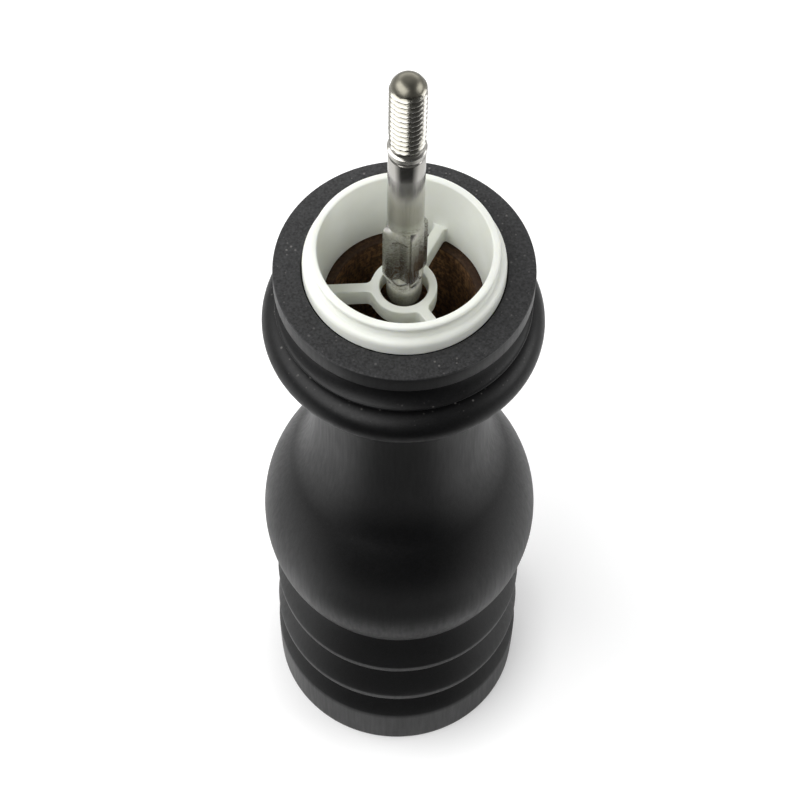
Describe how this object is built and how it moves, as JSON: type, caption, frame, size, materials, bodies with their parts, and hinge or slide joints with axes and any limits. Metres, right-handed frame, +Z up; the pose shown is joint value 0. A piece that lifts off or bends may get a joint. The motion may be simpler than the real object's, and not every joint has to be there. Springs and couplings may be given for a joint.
{
  "type": "pepper mill",
  "caption": "Turned black wooden pepper mill body with its head lifted off, showing the nylon guide cup and the threaded steel drive shaft that turns the conical grinder in its foot.",
  "frame": {"origin": "centre of the foot's flat underside, on the mill's axis", "axes": "+Z up along the mill's axis and the drive shaft; -Y is the front, +X is to the right seen from the front"},
  "size_m": [0.0572, 0.0572, 0.2066],
  "materials": {
    "black_lacquered_wood": "satin black lacquer over fine-grained hardwood, raw brown inside",
    "white_nylon": "moulded, satin, slightly translucent",
    "grey_nylon": "moulded, satin",
    "stainless_steel": "drawn and polished",
    "hardened_steel": "case hardened, dark",
    "spring_steel": "drawn wire and strip",
    "zinc_plated_steel": "bright zinc plate"
  },
  "bodies": {
    "mill_body": {"body_shell": "black_lacquered_wood", "guide_cup": "white_nylon", "grinder_housing": "grey_nylon", "stator_ring": "hardened_steel", "stator_snap_ring": "spring_steel", "bearing_bridge": "zinc_plated_steel", "bridge_bush": "white_nylon", "upper_spring_washer": "zinc_plated_steel", "housing_screw_1": "zinc_plated_steel", "housing_screw_2": "zinc_plated_steel", "housing_screw_3": "zinc_plated_steel", "bridge_screw_1": "zinc_plated_steel", "bridge_screw_2": "zinc_plated_steel"},
    "spring_seat": {"thrust_washer": "zinc_plated_steel", "grinder_spring": "spring_steel"},
    "drive": {"drive_shaft": "stainless_steel", "stop_clip": "spring_steel", "stop_washer": "zinc_plated_steel", "rotor_cone": "hardened_steel", "rotor_washer": "zinc_plated_steel", "rotor_lock_nut": "zinc_plated_steel"}
  },
  "joints": [
    {"name": "shaft_lift", "type": "slide", "parent": "mill_body", "child": "spring_seat", "axis": [0, 0, 1], "range_m": [0, 0.0024], "stiffness_N_per_m": 1500, "springref_m": -0.004, "deforming": ["grinder_spring"]},
    {"name": "shaft_turn", "type": "hinge", "parent": "spring_seat", "child": "drive", "pos_m": [0, 0, 0], "axis": [0, 0, 1], "continuous": true}
  ]
}
